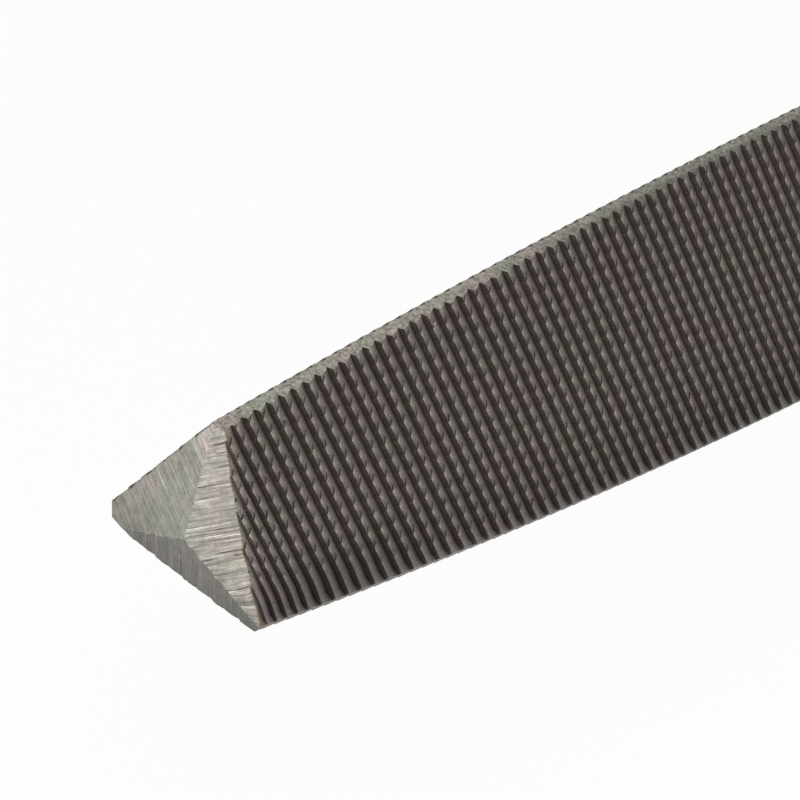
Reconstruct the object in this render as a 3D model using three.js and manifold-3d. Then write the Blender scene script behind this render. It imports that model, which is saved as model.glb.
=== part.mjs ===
// Triangular hand file: a three-sided steel file with ground tip, cut teeth and tang,
// in a turned wooden handle whose nose is held by a steel ferrule.
//
// Millimetres. The file's axis is X, from the middle of the handle's butt towards the tip.
// One edge of the triangle points up, so one cut face looks straight down.

import * as THREE from 'three';
import { mergeVertices } from 'three/addons/utils/BufferGeometryUtils.js';
import Module from 'manifold-3d';

const wasm = await Module();
wasm.setup();

// Body of the file. A side is measured between the sharp corners that its faces would meet in.
const bodyLength = 150;
const bodySide = 11.65;
const tipSide = 8.3;
const taperLength = 38.3;
const plainHeel = 5;

// Ground tip, a low three-sided point that is a little off centre
const tipHeight = 0.78;
const tipShiftY = 0.35;
const tipShiftZ = -0.19;

// Teeth. Rows lean back from one edge of each face to the next
const toothPitch = 0.625;
const toothDepth = 0.2;
const toothFrontShare = 0.18;
const rowAngleDeg = 70.9;
const firstRow = 0.395;
const arrisLand = 0.15;

// Shoulder and tang
const shoulderLength = 7;
const tangLength = 50;
const tangRootSide = 7.4;
const tangRootFlat = 1.7;
const tangEndSide = 4.2;
const tangEndFlat = 1.1;
const tangPointLength = 2;
const tangPointShare = 0.5;
const shoulderSteps = 5;

// Handle, measured from its butt
const handleLength = 100;
const buttFlatRadius = 6.5;
const buttRoundLength = 9;
const gripRadius = 13.2;
const gripPlace = 22;
const waistRadius = 10.2;
const waistPlace = 56;
const swellRadius = 11.4;
const swellPlace = 76;
const collarStep = 0.35;
const profileSteps = 10;
const roundSteps = 6;
const handleSides = 48;

// Ferrule, a drawn tube with its front edge turned in over the wood
const ferruleLength = 14;
const ferruleRadius = 9;
const ferruleWall = 0.8;
const ferruleTaper = 0.5;
const lipWidth = 2;
const lipRound = 0.9;
const lipSteps = 4;

// Gaps between pieces, and what a cutter runs past the face that it starts from
const clearance = 0.3;
const boreBottomGap = 0.5;
const overrun = 1;
const weldDistance = 0.00001;

const faceCount = 3;
const faceTurn = 2 * Math.PI / faceCount;
const halfCorner = Math.PI / 6;
const rowLean = 1 / Math.tan(THREE.MathUtils.degToRad(rowAngleDeg));

// A tooth gap runs out on the flattened edge of the bar, so the flat is two run-outs and a land
const runOut = toothDepth / Math.cos(halfCorner);
const arrisFlat = arrisLand + 2 * runOut;

const ferruleMouth = handleLength + clearance + ferruleWall;
const shoulderEnd = ferruleMouth + clearance;
const tipPlane = shoulderEnd + shoulderLength + bodyLength;

const steel = new THREE.MeshStandardMaterial({ color: 0x6e6a66, roughness: 0.45, metalness: 1 });
const bandSteel = new THREE.MeshStandardMaterial({ color: 0xb9b6ae, roughness: 0.3, metalness: 1 });
const beech = new THREE.MeshStandardMaterial({ color: 0xc08a52, roughness: 0.4, metalness: 0 });

// Side of the triangle at a distance from the tip: it swells along a parabola, then stays
function sideAt(distance) {
  const left = Math.max(0, 1 - distance / taperLength);
  return bodySide - (bodySide - tipSide) * left * left;
}

// Point of the bar's surface near one end of a face. The face is the one that looks up and to
// +Y before it is turned by turn steps; end is 1 at its upper edge and -1 at its lower one.
function edgePoint(distance, side, flat, depth, end, turn) {
  const across = end * (side / 2 - flat + depth * Math.tan(halfCorner));
  const out = side / 2 * Math.tan(halfCorner) - depth;
  const lookY = Math.cos(halfCorner);
  const lookZ = Math.sin(halfCorner);
  const point = new THREE.Vector3(
    tipPlane - distance,
    out * lookY - across * lookZ,
    out * lookZ + across * lookY,
  );
  return point.applyAxisAngle(new THREE.Vector3(1, 0, 0), -turn * faceTurn);
}

// Distance from the tip at which a leaning row reaches one end of its face
function rowEnd(row, end, depth) {
  let distance = row;
  for (let pass = 0; pass < 8; pass += 1) {
    const across = sideAt(distance) / 2 - arrisFlat + depth * Math.tan(halfCorner);
    distance = row - end * across * rowLean;
  }
  return distance;
}

// The rows of one face from tip to heel, as [place on the middle line, depth]: a gap's bottom,
// then the crest of the tooth behind it. A tooth is steep in front and slopes down behind.
function toothRows() {
  const reach = bodySide / 2 * rowLean;
  const start = Math.floor((-overrun - tipHeight - reach) / toothPitch);
  const last = bodyLength - plainHeel - reach;
  const rows = [];
  for (let row = firstRow + start * toothPitch; row < last; row += toothPitch) {
    rows.push([row, toothDepth]);
    rows.push([row + toothPitch * toothFrontShare, 0]);
  }
  return rows;
}

// Plain cross-sections behind the teeth, as [distance from the tip, side, flat]
function plainSections() {
  const list = [[bodyLength, bodySide, arrisFlat]];
  for (let step = 1; step <= shoulderSteps; step += 1) {
    const along = step / shoulderSteps;
    const eased = (1 - Math.cos(Math.PI * along)) / 2;
    list.push([
      bodyLength + shoulderLength * along,
      THREE.MathUtils.lerp(bodySide, tangRootSide, eased),
      THREE.MathUtils.lerp(arrisFlat, tangRootFlat, eased),
    ]);
  }
  const end = bodyLength + tangLength;
  list.push([end - tangPointLength, tangEndSide, tangEndFlat]);
  list.push([end, tangEndSide * tangPointShare, tangEndFlat * tangPointShare]);
  return list;
}

// Two long edges of each face, as lists of points from tip to tang
function faceEdges(rows, sections, grow) {
  const edges = [];
  for (let turn = 0; turn < faceCount; turn += 1) {
    const pair = [1, -1].map((end) => {
      const points = rows.map(([row, depth]) => {
        const distance = rowEnd(row, end, depth);
        return edgePoint(distance, sideAt(distance), arrisFlat, depth, end, turn);
      });
      for (const [distance, side, flat] of sections) {
        const grownSide = side + 2 * grow / Math.tan(halfCorner);
        const grownFlat = flat + grow / Math.cos(halfCorner);
        points.push(edgePoint(distance, grownSide, grownFlat, 0, end, turn));
      }
      return points;
    });
    edges.push(pair);
  }
  return edges;
}

// A closed bar from its faces' edges: three ruled faces, three flattened edges and two ends
function barGeometry(edges) {
  const corners = [];
  const put = (...points) => corners.push(...points);
  const last = edges[0][0].length - 1;
  const front = new THREE.Vector3();
  const back = new THREE.Vector3();
  for (const [upper, lower] of edges) {
    front.add(upper[0]).add(lower[0]);
    back.add(upper[last]).add(lower[last]);
    for (let i = 0; i < last; i += 1) {
      put(upper[i], lower[i], upper[i + 1]);
      put(lower[i], lower[i + 1], upper[i + 1]);
    }
  }
  front.divideScalar(2 * faceCount);
  back.divideScalar(2 * faceCount);
  for (let turn = 0; turn < faceCount; turn += 1) {
    const [upper, lower] = edges[turn];
    const next = edges[(turn + 1) % faceCount][0];
    let i = 0;
    let j = 0;
    while (i < last || j < last) {
      const stepLower = j === last || (i < last && lower[i + 1].x > next[j + 1].x);
      if (stepLower) {
        put(lower[i], next[j], lower[i + 1]);
        i += 1;
      } else {
        put(next[j], next[j + 1], lower[i]);
        j += 1;
      }
    }
    put(front, lower[0], upper[0], front, next[0], lower[0]);
    put(back, upper[last], lower[last], back, lower[last], next[last]);
  }
  return new THREE.BufferGeometry().setFromPoints(corners);
}

// Merges shared corners and drops triangles that have collapsed to a line
function weld(geometry) {
  geometry.deleteAttribute('normal');
  geometry.deleteAttribute('uv');
  const welded = mergeVertices(geometry, weldDistance);
  const index = [];
  for (let i = 0; i < welded.index.count; i += 3) {
    const [a, b, c] = [0, 1, 2].map((corner) => welded.index.getX(i + corner));
    if (a !== b && b !== c && c !== a) {
      index.push(a, b, c);
    }
  }
  welded.setIndex(index);
  return welded;
}

function toSolid(geometry) {
  const welded = weld(geometry);
  return new wasm.Manifold(new wasm.Mesh({
    numProp: 3,
    vertProperties: new Float32Array(welded.attributes.position.array),
    triVerts: new Uint32Array(welded.index.array),
  }));
}

function toGeometry(solid) {
  const { vertProperties, triVerts } = solid.getMesh();
  const geometry = new THREE.BufferGeometry();
  geometry.setAttribute('position', new THREE.BufferAttribute(vertProperties, 3));
  geometry.setIndex(new THREE.BufferAttribute(triVerts, 1));
  geometry.computeVertexNormals();
  return geometry;
}

// What the tip is ground out of: a three-sided point whose slopes run to the corners of the
// bar's end and on past them, then straight back beyond the tang
function tipEnvelope() {
  const apex = new THREE.Vector3(tipPlane + tipHeight, tipShiftY, tipShiftZ);
  const spread = 2 * bodySide / tipSide;
  const backX = tipPlane - bodyLength - tangLength - overrun;
  const ring = [];
  for (let turn = 0; turn < faceCount; turn += 1) {
    const corner = edgePoint(0, tipSide, 0, 0, 1, turn);
    ring.push(corner.sub(apex).multiplyScalar(spread).add(apex));
  }
  const corners = [];
  const rear = ring.map((point) => new THREE.Vector3(backX, point.y, point.z));
  for (let turn = 0; turn < faceCount; turn += 1) {
    const next = (turn + 1) % faceCount;
    corners.push(apex, ring[next], ring[turn]);
    corners.push(ring[turn], ring[next], rear[turn]);
    corners.push(ring[next], rear[next], rear[turn]);
  }
  corners.push(rear[0], rear[1], rear[2]);
  return new THREE.BufferGeometry().setFromPoints(corners);
}

function fileBlade() {
  const bar = toSolid(barGeometry(faceEdges(toothRows(), plainSections(), 0)));
  return toGeometry(bar.intersect(toSolid(tipEnvelope())));
}

// Turned outline of the handle, from the middle of the butt to the middle of the nose
function handleOutline() {
  const seat = ferruleRadius - ferruleWall - clearance;
  const collarPlace = handleLength - ferruleLength + ferruleWall;
  const points = [new THREE.Vector2(0, 0)];
  const roundHeight = gripRadius - buttFlatRadius;
  for (let step = 0; step < roundSteps; step += 1) {
    const angle = Math.PI / 2 * step / roundSteps;
    points.push(new THREE.Vector2(
      buttFlatRadius + roundHeight * Math.sin(angle),
      buttRoundLength * (1 - Math.cos(angle)),
    ));
  }
  const swells = [
    [buttRoundLength, gripRadius],
    [gripPlace, gripRadius],
    [waistPlace, waistRadius],
    [swellPlace, swellRadius],
    [collarPlace, ferruleRadius + collarStep],
  ];
  for (let part = 0; part < swells.length - 1; part += 1) {
    const [fromPlace, fromRadius] = swells[part];
    const [toPlace, toRadius] = swells[part + 1];
    const steps = fromRadius === toRadius ? 1 : profileSteps;
    for (let step = 0; step < steps; step += 1) {
      const along = step / steps;
      const eased = (1 - Math.cos(Math.PI * along)) / 2;
      points.push(new THREE.Vector2(
        THREE.MathUtils.lerp(fromRadius, toRadius, eased),
        THREE.MathUtils.lerp(fromPlace, toPlace, along),
      ));
    }
  }
  points.push(new THREE.Vector2(ferruleRadius + collarStep, collarPlace));
  points.push(new THREE.Vector2(seat, collarPlace));
  points.push(new THREE.Vector2(seat - ferruleTaper, handleLength));
  points.push(new THREE.Vector2(0, handleLength));
  return points;
}

// A shape turned about X from points given as radius and place along the axis
function turned(points, sides) {
  const geometry = new THREE.LatheGeometry(points, sides);
  geometry.rotateZ(-Math.PI / 2);
  return geometry;
}

// Blind hole burnt in by the tang: the tang's own shape with a clearance all round
function tangHole() {
  const sections = plainSections().slice(shoulderSteps);
  const [endDistance, endSide, endFlat] = sections[sections.length - 1];
  sections[sections.length - 1] = [endDistance + boreBottomGap, endSide, endFlat];
  return toSolid(barGeometry(faceEdges([], sections, clearance)));
}

function handle() {
  const wood = toSolid(turned(handleOutline(), handleSides));
  return toGeometry(wood.subtract(tangHole()));
}

// Wall of the ferrule, open at the back and with the lip turned in over the wood's nose
function ferruleOutline() {
  const back = handleLength - ferruleLength + ferruleWall + clearance;
  const inner = ferruleRadius - ferruleWall;
  const points = [
    new THREE.Vector2(inner, back),
    new THREE.Vector2(ferruleRadius, back),
  ];
  const centre = ferruleRadius - ferruleTaper - lipRound;
  for (let step = 0; step <= lipSteps; step += 1) {
    const angle = Math.PI / 2 * step / lipSteps;
    points.push(new THREE.Vector2(
      centre + lipRound * Math.cos(angle),
      ferruleMouth - lipRound * (1 - Math.sin(angle)),
    ));
  }
  const lipInner = inner - ferruleTaper - lipWidth;
  points.push(new THREE.Vector2(lipInner, ferruleMouth));
  points.push(new THREE.Vector2(lipInner, handleLength + clearance));
  points.push(new THREE.Vector2(inner - ferruleTaper, handleLength + clearance));
  points.push(new THREE.Vector2(inner, back));
  return points;
}

function ferrule() {
  return toGeometry(toSolid(turned(ferruleOutline(), handleSides)));
}

function mesh(name, geometry, material) {
  const result = new THREE.Mesh(geometry, material);
  result.name = name;
  return result;
}

const group = new THREE.Group();
group.add(mesh('file_blade', fileBlade(), steel));
group.add(mesh('ferrule', ferrule(), bandSteel));
group.add(mesh('handle', handle(), beech));

export default group;
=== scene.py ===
import math

import bpy
import numpy as np
from mathutils import Matrix, Vector
from mathutils.geometry import delaunay_2d_cdt


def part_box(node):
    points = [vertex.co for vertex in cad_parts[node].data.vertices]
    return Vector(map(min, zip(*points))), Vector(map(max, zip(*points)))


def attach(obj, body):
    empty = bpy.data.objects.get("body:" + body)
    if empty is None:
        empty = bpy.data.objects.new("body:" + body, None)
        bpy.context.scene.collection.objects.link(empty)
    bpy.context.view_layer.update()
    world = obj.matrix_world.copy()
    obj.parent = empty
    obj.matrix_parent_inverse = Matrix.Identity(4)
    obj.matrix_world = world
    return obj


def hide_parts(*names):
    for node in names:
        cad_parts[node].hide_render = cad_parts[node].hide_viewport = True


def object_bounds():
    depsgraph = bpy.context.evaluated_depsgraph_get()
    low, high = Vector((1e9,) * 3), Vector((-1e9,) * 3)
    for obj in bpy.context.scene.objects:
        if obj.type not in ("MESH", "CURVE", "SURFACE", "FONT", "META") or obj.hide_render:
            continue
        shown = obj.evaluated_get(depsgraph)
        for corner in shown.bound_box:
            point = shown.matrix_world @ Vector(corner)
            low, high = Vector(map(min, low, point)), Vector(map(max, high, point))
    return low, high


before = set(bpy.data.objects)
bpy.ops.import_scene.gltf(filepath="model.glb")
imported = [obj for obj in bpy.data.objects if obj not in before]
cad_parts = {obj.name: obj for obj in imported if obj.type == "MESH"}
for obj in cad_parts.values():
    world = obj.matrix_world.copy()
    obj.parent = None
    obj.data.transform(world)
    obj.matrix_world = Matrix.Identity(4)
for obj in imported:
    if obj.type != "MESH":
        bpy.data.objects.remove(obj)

cadLow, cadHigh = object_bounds()
mm = 0.001
halfCorner = math.radians(30)
faceTurn = math.radians(120)
noiseRange = (0.3, 0.7)  # where nearly all of a noise texture lies


# Helpers for meshes

def readAll(items, name, kind=np.int32):
    values = np.empty(len(items), dtype=kind)
    items.foreach_get(name, values)
    return values


def sharpenBorders(mesh):
    # shading stops where one finish meets another
    cornerKinds = np.repeat(readAll(mesh.polygons, "material_index"), readAll(mesh.polygons, "loop_total"))
    edges = readAll(mesh.loops, "edge_index")
    lowest = np.full(len(mesh.edges), len(mesh.materials))
    highest = np.full(len(mesh.edges), -1)
    np.minimum.at(lowest, edges, cornerKinds)
    np.maximum.at(highest, edges, cornerKinds)
    sharp = readAll(mesh.edges, "use_edge_sharp", bool)
    mesh.edges.foreach_set("use_edge_sharp", sharp | (lowest != highest))


def makePiece(name, points, faces, surfaces, faceSurfaces=None, sharpAngle=30):
    mesh = bpy.data.meshes.new(name)
    mesh.from_pydata([tuple(p) for p in points], [], faces)
    for surface in surfaces:
        mesh.materials.append(surface)
    if faceSurfaces is not None:
        mesh.polygons.foreach_set("material_index", np.asarray(faceSurfaces, dtype=np.int32))
    mesh.validate()
    mesh.update()
    mesh.shade_smooth()
    mesh.set_sharp_from_angle(angle=math.radians(sharpAngle))
    sharpenBorders(mesh)
    piece = bpy.data.objects.new(name, mesh)
    bpy.context.scene.collection.objects.link(piece)
    return piece


def addMap(piece, name, corners):
    layer = piece.data.uv_layers.new(name=name)
    layer.data.foreach_set("uv", np.asarray(corners, dtype=np.float32).ravel())


def eased(along):
    return (1 - np.cos(np.pi * np.clip(along, 0, 1))) / 2


def lerp(first, second, share):
    return first + (second - first) * share


# Helpers for node trees

def feed(node, values):
    # each input by its name gets a link from another socket, or a plain value
    for name, value in values.items():
        if isinstance(value, bpy.types.NodeSocket):
            node.id_data.links.new(value, node.inputs[name])
        elif value is not None:
            node.inputs[name].default_value = value


def newNode(kind, inputs=None, tree=None, **settings):
    # without a tree, the node joins the tree of the first socket that feeds it
    if tree is None:
        tree = next(value.id_data for value in inputs.values() if isinstance(value, bpy.types.NodeSocket))
    node = tree.nodes.new(kind)
    for name, value in settings.items():
        setattr(node, name, value)
    feed(node, inputs or {})
    return node


def maths(operation, *values):
    return newNode("ShaderNodeMath", dict(enumerate(values)), operation=operation).outputs[0]


def multiplied(*factors):
    total = factors[0]
    for factor in factors[1:]:
        total = maths("MULTIPLY", total, factor)
    return total


def remap(value, fromLow, fromHigh, toLow=0.0, toHigh=1.0):
    inputs = {"Value": value, "From Min": fromLow, "From Max": fromHigh, "To Min": toLow, "To Max": toHigh}
    return newNode("ShaderNodeMapRange", inputs, clamp=True).outputs["Result"]


def spread(value, low, high):
    # a noise texture stretched to run from low to high
    return remap(value, *noiseRange, low, high)


def band(value, start, stop, soft):
    # 1 between start and stop, with soft borders outside them
    return multiplied(remap(value, start - soft, start), remap(value, stop, stop + soft, 1, 0))


def blendColour(factor, first, second):
    inputs = {"Factor": factor, "A": first, "B": second}
    return newNode("ShaderNodeMix", inputs, data_type="RGBA", clamp_factor=True).outputs["Result"]


def shade(colour, amount):
    # scales a colour by a number
    return newNode("ShaderNodeVectorMath", {0: colour, "Scale": amount}, operation="SCALE").outputs[0]


def toned(finish, amounts):
    # the finish's tones by name, each as strong as its amount from 0 to 1, multiplied
    return multiplied(*[remap(part, 0, 1, 1, finish[name]) for name, part in amounts.items()])


def noise(place, scale, detail, roughness):
    inputs = {"Vector": place, "Scale": scale, "Detail": detail, "Roughness": roughness}
    return newNode("ShaderNodeTexNoise", inputs).outputs["Fac"]


def streaks(place, scales, detail, roughness):
    # noise with a scale of its own along each axis
    mapped = newNode("ShaderNodeMapping", {"Vector": place, "Scale": scales}).outputs["Vector"]
    return noise(mapped, 1.0, detail, roughness)


def split(vector):
    return newNode("ShaderNodeSeparateXYZ", {0: vector}).outputs


def joined(*parts):
    return newNode("ShaderNodeCombineXYZ", dict(enumerate(parts))).outputs[0]


def objectPlace(tree):
    return newNode("ShaderNodeTexCoord", tree=tree).outputs["Object"]


def mapPlace(near, name):
    # in the same tree as another socket
    return newNode("ShaderNodeUVMap", tree=near.id_data, uv_map=name).outputs["UV"]


def newGroup(name, inputs):
    # inputs are socket types by name
    tree = bpy.data.node_groups.new(name, "ShaderNodeTree")
    for label, kind in inputs.items():
        tree.interface.new_socket(name=label, in_out="INPUT", socket_type="NodeSocket" + kind)
    return tree, tree.nodes.new("NodeGroupInput").outputs


def putOut(tree, results):
    # the group's outputs, which are all plain numbers
    for name in results:
        tree.interface.new_socket(name=name, in_out="OUTPUT", socket_type="NodeSocketFloat")
    newNode("NodeGroupOutput", results)


def newMaterial(name, values):
    material = bpy.data.materials.new(name)
    material.use_nodes = True
    shader = material.node_tree.nodes["Principled BSDF"]
    feed(shader, values)
    return material, shader


def connect(shader, colour, roughness, height, strength, distance):
    # without a roughness the shader keeps its own
    bump = newNode("ShaderNodeBump", {"Strength": strength, "Distance": distance, "Height": height})
    feed(shader, {"Base Color": colour, "Roughness": roughness, "Normal": bump.outputs["Normal"]})


# Camera, at the photograph's viewing angle

cameraView = {
    "aim": (0.25226, 0.00278, 0.00478),  # a point on the line of sight, just behind the ground tip
    "distance": 0.19555,
    "azimuth": 32.59,  # degrees from +X towards +Y
    "elevation": 35.62,
    "roll": 16.09,
    "lens": 255.95,
    "sensor": 36,
    "clip": (0.01, 20),
}


def makeCamera():
    azimuth, elevation, roll = (math.radians(cameraView[name]) for name in ("azimuth", "elevation", "roll"))
    data = bpy.data.cameras.new("camera")
    data.lens = cameraView["lens"]
    data.sensor_width = cameraView["sensor"]
    data.clip_start, data.clip_end = cameraView["clip"]
    camera = bpy.data.objects.new("camera", data)
    aim = Matrix.Translation(cameraView["aim"])
    turn = Matrix.Rotation(azimuth, 4, "Z") @ Matrix.Rotation(-elevation, 4, "Y")
    facing = Matrix(((0, 0, 1), (1, 0, 0), (0, 1, 0))).to_4x4() @ Matrix.Rotation(roll, 4, "Z")
    camera.matrix_world = aim @ turn @ facing @ Matrix.Translation((0, 0, cameraView["distance"]))
    bpy.context.scene.collection.objects.link(camera)
    bpy.context.scene.camera = camera


makeCamera()
print("camera placed")


# Blade: body, teeth, ground tip and tang as one closed skin, sizes in millimetres

blade = {
    "bodyLength": 150,
    "side": 11.65,  # between the sharp corners that the faces would meet in
    "tipSide": 8.3,
    "taperLength": 38.3,
    "plainHeel": 5,
    "plainStart": 2.5,  # from the first plain section to the shoulder
    "plainPoints": 9,  # across a face behind the teeth
    "edgeFlat": 0.612,  # width of a flattened edge
    "edgeLand": 0.15,  # the part of it that no tooth gap reaches
    "edgeNick": 0.01,  # typical depth of the nicks along it
    "deepestNick": 3,  # times the typical one
    "nickSpacing": 0.22,
    "sparseNicks": 3,  # how many times further apart they are behind the fine teeth
    "nickStop": 0.5,  # the last one before the plain sections
    "shoulderLength": 7,
    "shoulderSteps": 16,
    "tangLength": 50,
    "tangRootSide": 7.4,
    "tangRootFlat": 1.7,
    "tangEndSide": 4.2,
    "tangEndFlat": 1.1,
    "tangPointLength": 2,
    "tangPointShare": 0.5,
    "tipHeight": 0.78,
    "tipSpacing": 0.12,  # between the points of the ground surface
    "sharpAngle": 24,
    "seed": 11,
}

teeth = {
    "pitch": 0.625,
    "depth": 0.24,
    "rowAngle": 70.9,
    "firstFull": 1.667,  # the first row at the full pitch; the rows nearer the tip are cut closer
    "closeShares": (0.97, 0.8, 0.78, 0.76, 0.72),  # their spacings towards the tip, as shares of the pitch
    "crossAngle": 51.1,  # the shallower first cut, which leans the other way
    "crossPitch": 0.5367,
    "crossStart": -0.335,
    "crossFade": 0.7,  # the first cut grows shallow this near to a face's lower edge
    "crossTipFade": 1.6,  # and further up beside the tip
    "crossNone": 0.35,  # it has ended over this share of the fade
    "tipZone": 10,
    "endBend": 0.12,  # the rows beside the tip bend towards it at their lower ends
    "bendReach": 1.0,
    "runPast": 2.6,  # rows cut past the tip before it is ground
    "fineLength": 34,  # full detail this far from the tip, simpler teeth behind it
    "wander": 0.006,  # how unevenly a tooth is raised
    "dropWander": 0.25,
    "wear": 0.5,
    "endShares": (0.45, 0.78),  # what is left of the depth where a gap runs out on its two edges
    "endFade": 0.32,
    "endSteps": (0, 0.35, 0.7, 1),
    "endGap": 0.06,
    "tipShare": 0.4,  # and where it meets the ground tip
    "tipFade": 0.8,
}

# Long lines of one row, as (share of the pitch, share of the depth, marks). A mark is a point in each
# crossing of the first cut: (phase, set back as a share of the pitch, drop in millimetres)
gapLine = (0, 1.0, ((0.45, 0, 0),))
crestLine = (0.08, 0, (
    (0.03, 0.01, 0.014), (0.12, 0.013, 0.012), (0.42, 0.013, 0.006),
    (0.65, 0, 0), (0.85, -0.016, 0), (0.95, -0.02, 0),
))
backLine = (0.3, 0.125, (
    (0.03, 0, 0.04), (0.13, 0, 0.03), (0.45, 0, 0.006), (0.7, 0, 0), (0.95, 0, -0.004),
))
middleLine = (0.52, 0.31, ((0.04, 0, 0.026), (0.16, 0, 0.012), (0.45, 0, 0), (0.95, 0, 0)))
lowLine = (0.76, 0.6, ((0.55, 0, 0),))
footLine = (0.9, 0.83, ((0.5, 0, 0),))
roughCrest = (0.08, 0, ((0.05, 0.015, 0.02), (0.93, -0.028, 0)))
roughMiddle = (0.5, 0.28, ((0.4, 0, 0),))
roughGap = (0, 1.0, ((0.5, 0, 0),))
fineRow = (gapLine, crestLine, backLine, middleLine, lowLine, footLine)
roughRow = (roughGap, roughCrest, roughMiddle)
lastRow = (roughGap, roughCrest, (0.5, 0, ((0.4, 0, 0),)), (0.88, 0, ((0.6, 0, 0),)))

# Slopes of the ground tip, as (fall across Y, fall across Z, hollow, middle of the hollow, face, ripple)
tipSlopes = (
    (0.2376, 0.1663, 0.012, 0.8, 0, 0.014),
    (0.0, -0.354, 0.006, 0.0, 1, 0.048),
    (-0.3235, 0.1075, 0.0, 0.0, 2, 0.014),
)
tipApex = (0.35, -0.19)
tipCorner = (0.776, -0.3092, 0.1596)  # small flat ground on the upper corner: height, fall across Y and Z
wheelWaves = ((1, 9.3, 0, 0.4), (0.8, 15.1, 0.5, 1.9), (0.6, 27.7, -0.8, 0.7))  # size, rate, drift, phase

# Marks on the first slope lean off its fall line and spread towards the lower corner
tipMarks = {
    "lean": 0.07,
    "fanStart": -0.7,
    "fanPivot": 1.2,
    "fan": 0.42,
    "slopeOffset": 20,  # keeps the maps of the slopes apart
}

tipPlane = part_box("file_blade")[1].x / mm - blade["tipHeight"]
rowLean = 1 / math.tan(math.radians(teeth["rowAngle"]))
crossAlong = math.sin(math.radians(teeth["crossAngle"])) / teeth["crossPitch"]
crossOver = math.cos(math.radians(teeth["crossAngle"])) / teeth["crossPitch"]
chance = np.random.default_rng(blade["seed"])


def sideAt(distance):
    left = np.clip(1 - distance / blade["taperLength"], 0, None)
    return blade["side"] - (blade["side"] - blade["tipSide"]) * left * left


def facePoints(distance, across, depth, turn, side=None):
    # a face looks up and to +Y before it is turned; across grows towards its upper edge
    side = sideAt(distance) if side is None else side
    out = side / 2 * math.tan(halfCorner) - depth
    y = out * math.cos(halfCorner) - across * math.sin(halfCorner)
    z = out * math.sin(halfCorner) + across * math.cos(halfCorner)
    angle = -turn * faceTurn
    return np.stack(np.broadcast_arrays(
        tipPlane - distance,
        y * math.cos(angle) - z * math.sin(angle),
        y * math.sin(angle) + z * math.cos(angle),
    ), axis=-1)


def addLine(skin, points, lattice, keys):
    start = skin["count"]
    skin["points"].append(np.asarray(points, dtype=float))
    skin["lattice"].append(np.asarray(lattice, dtype=float))
    skin["count"] += len(points)
    return {"ids": list(range(start, skin["count"])), "keys": list(keys)}


def zipLines(skin, first, second, kind):
    # triangles between two lines that run the same way, in step with their keys
    a, b = first["ids"], second["ids"]
    keysA, keysB = first["keys"], second["keys"]
    i = j = 0
    while i < len(a) - 1 or j < len(b) - 1:
        if j == len(b) - 1 or (i < len(a) - 1 and keysA[i + 1] <= keysB[j + 1]):
            skin["faces"].append((a[i + 1], a[i], b[j]))
            i += 1
        else:
            skin["faces"].append((a[i], b[j], b[j + 1]))
            j += 1
        skin["kinds"].append(kind)


def tipHold(start, across, turn):
    # how much of its depth a gap keeps near the ground tip
    under = overTip(facePoints(start - across * rowLean, across, 0, turn))
    return lerp(teeth["tipShare"], 1, eased(under / teeth["tipFade"]))


def lineEnds(start, depth, turn, passes=6):
    # how far across the face a leaning line meets the two flattened edges
    ends = []
    for end, share in zip((-1, 1), teeth["endShares"]):
        across = end * blade["tipSide"] / 2
        for _ in range(passes):
            kept = depth * share * tipHold(start, across, turn)
            side = sideAt(start - across * rowLean)
            across = end * float(side / 2 - blade["edgeFlat"] + kept * math.tan(halfCorner))
        ends.append(across)
    return ends


def crossDepth(distance, fromLow):
    # how deep the first cut is, from 0 to 1
    tipward = 1 - eased(distance / teeth["tipZone"])
    fade = teeth["crossFade"] + teeth["crossTipFade"] * tipward
    return eased((fromLow / fade - teeth["crossNone"]) / (1 - teeth["crossNone"]))


def rowPlaces(last):
    # each row as (number, distance of its gap behind the tip, spacing as a share of the pitch)
    rows = []
    place = teeth["firstFull"]
    while place > -teeth["runPast"]:
        share = teeth["closeShares"][min(len(rows), len(teeth["closeShares"]) - 1)]
        place -= share * teeth["pitch"]
        rows.append((-1 - len(rows), place, share))
    full = np.arange(teeth["firstFull"], last, teeth["pitch"])
    return rows[::-1] + [(number, place, 1.0) for number, place in enumerate(full)]


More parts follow.
